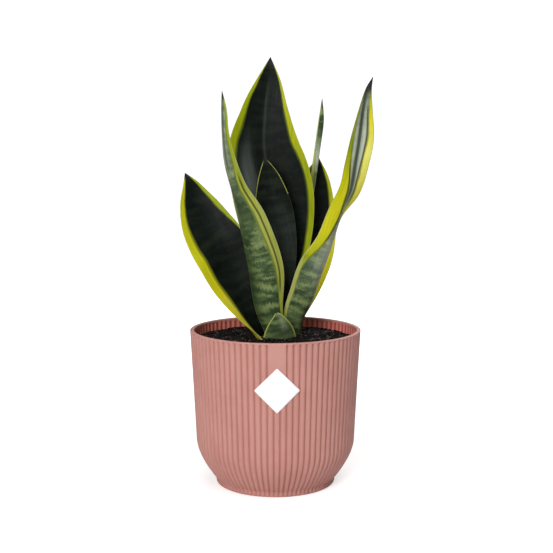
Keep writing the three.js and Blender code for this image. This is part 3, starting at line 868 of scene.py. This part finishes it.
def leaf_layers(leaf):
    """Points of the inner and outer face on a grid of rows and columns."""
    middle, side, inward, half_width, dish, length = leaf_sections(leaf)
    u = np.sin(np.linspace(-math.pi / 2, math.pi / 2, LEAF_COLUMNS))[None, :]
    width = half_width[:, None]
    keel = 1 - np.sqrt(u**2 + KEEL_SOFTNESS)
    depth = dish[:, None] * (1 - u**2 + leaf["crease"] * np.maximum(keel, 0))
    full_thickness = TIP_THICKNESS + THICKNESS_PER_HALF_WIDTH * half_width
    middle_thickness = np.minimum(leaf["thickness"], full_thickness)[:, None]
    edge_thickness = np.minimum(EDGE_THICKNESS, middle_thickness)
    thickness = middle_thickness + (edge_thickness - middle_thickness) * u**2
    from_edge = (1 - np.abs(u)) * width
    curl = np.clip(1 - from_edge / np.minimum(EDGE_ROLL, 0.5 * width), 0, 1)
    thickness = thickness * np.sqrt(1 - curl**2)
    wave = np.sin(length[:, None] / RIPPLE_PITCH + 3 * u)
    ripple = RIPPLE * wave * u**2 * smoothstep(width, *RIPPLE_WIDTHS)
    centre = (
        middle[:, None, :]
        + side[:, None, :] * (width * u)[..., None]
        - inward[:, None, :] * (depth + ripple)[..., None]
    )
    half = inward[:, None, :] * (thickness / 2)[..., None]
    return centre + half, centre - half, u, width, length, middle[:, 2]


def spots(rows_of_spots, face, u, heights):
    """How much of a list of soft spots each point of one face has."""
    total = np.zeros_like(heights)
    for side, at, at_height, spread, spread_height, amount in rows_of_spots:
        if (side == "inner") == bool(face):
            reach = ((u - at) / spread) ** 2 + ((heights - at_height) / spread_height) ** 2
            total = np.maximum(total, amount * np.exp(-reach))
    return total


def line_offset(leaf, side, height):
    """Where a leaf's dark line runs from its border on one side, and how strong it is."""
    offsets = leaf.get("lines", {}).get(side)
    if offsets is None:
        return np.zeros_like(height), np.zeros_like(height)
    start, end = offsets[0][0], offsets[-1][0]
    starting = smoothstep(height, start, start + LINE_FADE)
    ending = smoothstep(-height, -end, LINE_FADE - end)
    return keyed(offsets, height), starting * ending


def leaf_attributes(leaf, face, u, width, length, height, seed):
    """What the leaf's material reads at each point of one face."""
    faces_back = np.mean([station[4] for station in leaf["stations"]]) > 0
    from_left = (1 - u if faces_back else 1 + u) * width
    rows = height[:, None] + 0 * u
    sides = {}
    for side, from_side in (("left", from_left), ("right", 2 * width - from_left)):
        margin = keyed(leaf[side], rows)
        tone = keyed(leaf[side + "_tone"], rows)
        sides[side] = (from_side - margin, margin, tone, *line_offset(leaf, side, rows))
    left = sides["left"][0] < sides["right"][0]
    inside, margin, tone, offset, strength = (
        np.where(left, *values) for values in zip(sides["left"], sides["right"])
    )
    to_tip = length[-1] - length
    tip_length = leaf.get("tip", min(LONGEST_TIP, length[-1] / TIPS_PER_LEAF))
    return {
        "across": width * u,
        "along": length[:, None] + 0 * u,
        "seed": np.full_like(rows, seed * 37.0),
        "from_edge": (1 - np.abs(u)) * width,
        "inside": inside,
        "margin": np.maximum(margin, 0),
        "tone": tone,
        "from_line": np.abs(inside - offset),
        "line": strength,
        "midrib": keyed(leaf.get("midrib", [(0, 0)]), rows),
        "keel": np.full_like(rows, leaf.get("keel", KEEL_WIDTH)),
        "painted_sheen": spots(leaf.get("painted_sheen", []), face, u, rows),
        "painted_shading": spots(leaf.get("painted_shading", []), face, u, rows),
        "edge_highlight": np.full_like(rows, leaf.get("edge_highlight", 0.5)),
        "fleck": np.full_like(rows, leaf.get("fleck", 0.3)),
        "tip": smoothstep(to_tip, tip_length, tip_length / 3)[:, None] + 0 * u,
        "inner": np.full_like(rows, float(face)),
    }


def round_blade(inner, outer):
    """The rows of the inner face, each closed into a ring by the outer face's row."""
    return np.concatenate([inner, outer[:, -2:0:-1]], axis=1)


def build_leaf(name, leaf, seed):
    inner, outer, u, width, length, height = leaf_layers(leaf)
    rings = round_blade(inner, outer)
    points, faces = capped_tube(list(rings), rings[0].mean(0), leaf["stations"][-1][:3])
    front = leaf_attributes(leaf, 1, u, width, length, height, seed)
    rear = leaf_attributes(leaf, 0, u, width, length, height, seed)
    values = {}
    for key in front:
        both = round_blade(front[key], rear[key])
        ends = [both[0].mean(), both[-1].mean()]
        values[key] = np.concatenate([both.reshape(-1), ends])
    piece = mesh_object(name + "_blade", points, faces, values)
    place_piece(piece, name, MATERIALS["leaf"])


def leaf_grain(s, across_scale, along_scale, detail=2.0, roughness=0.5):
    """Noise that is drawn out along the blade."""
    across = s.math("MULTIPLY", s.attribute("across"), across_scale)
    along = s.math("MULTIPLY", s.attribute("along"), along_scale)
    return s.noise(s.vector(across, along, s.attribute("seed")), 1, detail, roughness)


def cross_bands(s):
    """Ragged bands across the blade: 0 where it is dark and 1 where it is light."""
    ragged = s.math("MULTIPLY_ADD", leaf_grain(s, 0.7, 0.06, 3), 6.0, s.attribute("along"))
    across = s.math("MULTIPLY", s.attribute("across"), 0.05)
    along = s.math("MULTIPLY", ragged, 0.17)
    place = s.vector(across, along, s.attribute("seed"))
    return s.span(s.noise(place, 1, 3, 0.6), 0.38, 0.66)


def banded_blade(s, fibre):
    """The green of both faces: banded outside, and near black inside as painted shade over the
    inner face.
    """
    band = cross_bands(s)
    patch = leaf_grain(s, 0.12, 0.1, 3)
    outer_dark = s.mix(s.span(patch, 0.3, 0.7), rgb(36, 57, 38), rgb(60, 80, 50))
    outer_light = s.mix(s.span(fibre, 0.3, 0.7), rgb(142, 156, 102), rgb(110, 130, 76))
    outer = s.mix(band, outer_dark, outer_light)
    # Painted shade: where the shading spots lie, the outer face darkens to a deeper green.
    shaded = s.mix(s.span(fibre, 0.3, 0.7), rgb(38, 56, 34), rgb(50, 68, 40))
    outer = s.mix(s.attribute("painted_shading"), outer, shaded)
    # Painted shade: the inner face is kept near black, with only faint bands showing through.
    inner_painted_shade = s.mix(s.span(patch, 0.35, 0.7), rgb(6, 12, 11), rgb(12, 19, 14))
    flecked = s.math("MULTIPLY", band, s.attribute("fleck"))
    inner = s.mix(flecked, inner_painted_shade, rgb(38, 44, 32))
    return s.mix(s.attribute("inner"), outer, inner)


def with_painted_sheen_and_midrib(s, blade, broad_fibre):
    """Adds the painted sheen, a grey reflection, and the midrib as a dark or a light streak."""
    streaks = s.span(broad_fibre, 0.25, 0.7, 0.55, 1.0)
    # Painted sheen: a grey reflection mixed in where the sheen spots lie, streaked along the
    # fibre.
    painted_sheen = s.math("MULTIPLY", s.attribute("painted_sheen"), streaks)
    sheen_colour = s.mix(s.attribute("inner"), rgb(180, 188, 168), rgb(122, 130, 124))
    blade = s.mix(painted_sheen, blade, sheen_colour)
    off_keel = s.math("DIVIDE", s.math("ABSOLUTE", s.attribute("across")), s.attribute("keel"))
    keel = s.math("MULTIPLY", s.span(off_keel, 0.4, 1.5, 1, 0), s.attribute("midrib"))
    blade = s.mix(s.clamped(keel), blade, rgb(46, 54, 48))
    return s.mix(s.clamped(s.math("MULTIPLY", keel, -1.0)), blade, rgb(96, 106, 90))


def margin_yellow(s, fibre):
    """The margin's colour by its tone: pale green, olive, bright yellow or pale yellow. The tone
    is partly the margin's own colour and partly painted light: olive partly stands for a margin in
    shade, and pale green for a thin edge in a painted highlight.
    """
    tone = s.attribute("tone")
    streak = s.span(fibre, 0.3, 0.75)
    olive = s.mix(streak, rgb(152, 160, 14), rgb(116, 134, 12))
    bright = s.mix(streak, rgb(222, 214, 34), rgb(196, 192, 26))
    pale = s.mix(streak, rgb(180, 184, 104), rgb(146, 152, 74))
    yellow = s.mix(s.clamped(tone), olive, bright)
    yellow = s.mix(s.clamped(s.math("SUBTRACT", tone, 1.0)), yellow, rgb(244, 240, 128))
    return s.mix(s.clamped(s.math("MULTIPLY", tone, -1.0)), yellow, pale)


def with_margin(s, blade, yellow):
    """Adds the margin, with a streaky border that passes through green."""
    margin = s.attribute("margin")
    wander = s.math("MULTIPLY_ADD", leaf_grain(s, 0.15, 0.06, 3), 1.6, -0.8)
    wander = s.math("MULTIPLY", wander, s.span(margin, 0, 3))
    inside = s.math("ADD", s.attribute("inside"), wander)
    fade = s.math("MULTIPLY_ADD", margin, 0.35, 0.25)
    solid = s.math("MULTIPLY", fade, -0.4)
    has_margin = s.span(margin, 0, 0.2)
    near_border = s.math("MULTIPLY", s.span(inside, 0, fade, 1, 0), has_margin)
    in_border = s.math("MULTIPLY", s.span(inside, solid, 0.3, 1, 0), has_margin)
    blade = s.mix(near_border, blade, s.mix(0.6, yellow, rgb(40, 66, 22)))
    return s.mix(in_border, blade, yellow)


def with_line_edge_highlight_and_tip(s, blade):
    """Adds the dark line along the margin, a painted highlight that pales the very edge, and the
    dark tip.
    """
    near_line = s.span(s.attribute("from_line"), 0.25, 0.9, 0.85, 0)
    line = s.math("MULTIPLY", near_line, s.attribute("line"))
    blade = s.mix(line, blade, s.mix(s.attribute("inner"), rgb(62, 56, 28), rgb(44, 60, 26)))
    # Painted highlight: the very edge is paled as if it caught the light.
    near_edge = s.span(s.attribute("from_edge"), 0.1, 0.5, 1, 0)
    edge_highlight = s.math("MULTIPLY", near_edge, s.attribute("edge_highlight"))
    blade = s.mix(edge_highlight, blade, rgb(176, 178, 130))
    return s.mix(s.attribute("tip"), blade, rgb(38, 36, 34))


def leaf_material():
    s = Shading("snake_plant_leaf", 0.42, 0.08)
    fibre = leaf_grain(s, 2.2, 0.03, 3, 0.6)
    broad_fibre = leaf_grain(s, 0.7, 0.015, 2)
    blade = banded_blade(s, fibre)
    blade = with_painted_sheen_and_midrib(s, blade, broad_fibre)
    blade = with_margin(s, blade, margin_yellow(s, fibre))
    s.finish("Base Color", with_line_edge_highlight_and_tip(s, blade))
    s.finish("Roughness", s.span(broad_fibre, 0.25, 0.75, 0.34, 0.5))
    ridges = s.bump(fibre, 0.00016, 0.5)
    s.finish("Normal", s.bump(leaf_grain(s, 0.25, 0.12, 2), 0.0005, 0.3, ridges))
    return s.material


# ---- rhizome -----------------------------------------------------------------------------
def rhizome_material():
    s = Shading("rootstock_bark", 0.8, 0.3)
    place = s.position()
    rings = s.noise(place, 240, 4, 0.6, 0.4)
    s.finish("Base Color", s.mix(s.span(rings, 0.3, 0.7), rgb(196, 152, 96), rgb(140, 98, 58)))
    s.finish("Normal", s.bump(rings, 0.0004, 0.7))
    return s.material


# ---- stage, light and camera -------------------------------------------------------------
def build_stage():
    """A white floor, which the view shows a little whiter than it is lit, more so further out."""
    rim = round_ring(FLOOR_REACH / MM, np.linspace(0, 2 * math.pi, 97)[:-1], 0)
    floor = mesh_object("studio_floor", rim, [tuple(range(len(rim)))])
    s = Shading("pale_floor", 0.9, 0.1)
    s.finish("Base Color", rgb(236, 236, 236))
    s.finish("Emission Color", (1, 1, 1, 1))
    away = s.tree.nodes.new("ShaderNodeVectorMath")
    away.operation = "LENGTH"
    s.tree.links.new(s.position(), away.inputs[0])
    path = s.tree.nodes.new("ShaderNodeLightPath")
    glow = s.span(away.outputs["Value"], *GLOW_REACH, *FLOOR_GLOW)
    s.finish("Emission Strength", s.math("MULTIPLY", glow, path.outputs["Is Camera Ray"]))
    floor.data.materials.append(s.material)


def build_world():
    """White behind everything, and a dimmer white as the room's fill light."""
    world = bpy.data.worlds.new("studio")
    world.use_nodes = True
    bpy.context.scene.world = world
    tree = world.node_tree
    seen = tree.nodes["Background"]
    seen.inputs["Strength"].default_value = SEEN_WHITE
    seen.inputs["Color"].default_value = (1, 1, 1, 1)
    fill = tree.nodes.new("ShaderNodeBackground")
    fill.inputs["Strength"].default_value = FILL_LIGHT
    path = tree.nodes.new("ShaderNodeLightPath")
    pick = tree.nodes.new("ShaderNodeMixShader")
    tree.links.new(path.outputs["Is Camera Ray"], pick.inputs[0])
    tree.links.new(fill.outputs[0], pick.inputs[1])
    tree.links.new(seen.outputs[0], pick.inputs[2])
    tree.links.new(pick.outputs[0], tree.nodes["World Output"].inputs["Surface"])


def add_light(name, place, target, size, power):
    """A square lamp that points at its target."""
    light = bpy.data.lights.new(name, "AREA")
    light.shape = "SQUARE"
    light.size = size
    light.energy = power
    lamp = bpy.data.objects.new(name, light)
    bpy.context.scene.collection.objects.link(lamp)
    lamp.location = place
    towards = np.array(target) - np.array(place)
    flat = math.hypot(towards[0], towards[1])
    lamp.rotation_euler = (
        math.pi / 2 + math.atan2(towards[2], flat),
        0,
        math.atan2(-towards[0], towards[1]),
    )


def build_camera():
    camera = bpy.data.cameras.new("photo_angle")
    camera.sensor_width = 36
    camera.lens = CAMERA_LENS
    camera.clip_end = 50
    holder = bpy.data.objects.new("photo_angle", camera)
    bpy.context.scene.collection.objects.link(holder)
    holder.location = CAMERA_PLACE
    holder.rotation_euler = (CAMERA_TILT, 0, 0)
    bpy.context.scene.camera = holder


# ---- the scene ---------------------------------------------------------------------------
bpy.context.scene.view_settings.view_transform = "Standard"
build_camera()
build_world()
build_stage()
add_light("key", (-0.7, -1.75, 0.85), (0, 0, 0.15), 0.9, 25.5)
add_light("top", (0.2, -0.45, 1.55), (0, 0, 0.1), 1.4, 14)
add_light("back", (0.5, 1.6, 1.0), (0, 0, 0.15), 1.2, 8)

MATERIALS = {"leaf": leaf_material(), "soil": soil_material()}
build_pot()
build_label()
build_soil_bed()
build_crumbs()
for number, (leaf_name, leaf_shape) in enumerate(LEAVES.items()):
    build_leaf(leaf_name, leaf_shape, number + 1)
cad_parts["rhizome"].material_slots[0].material = rhizome_material()
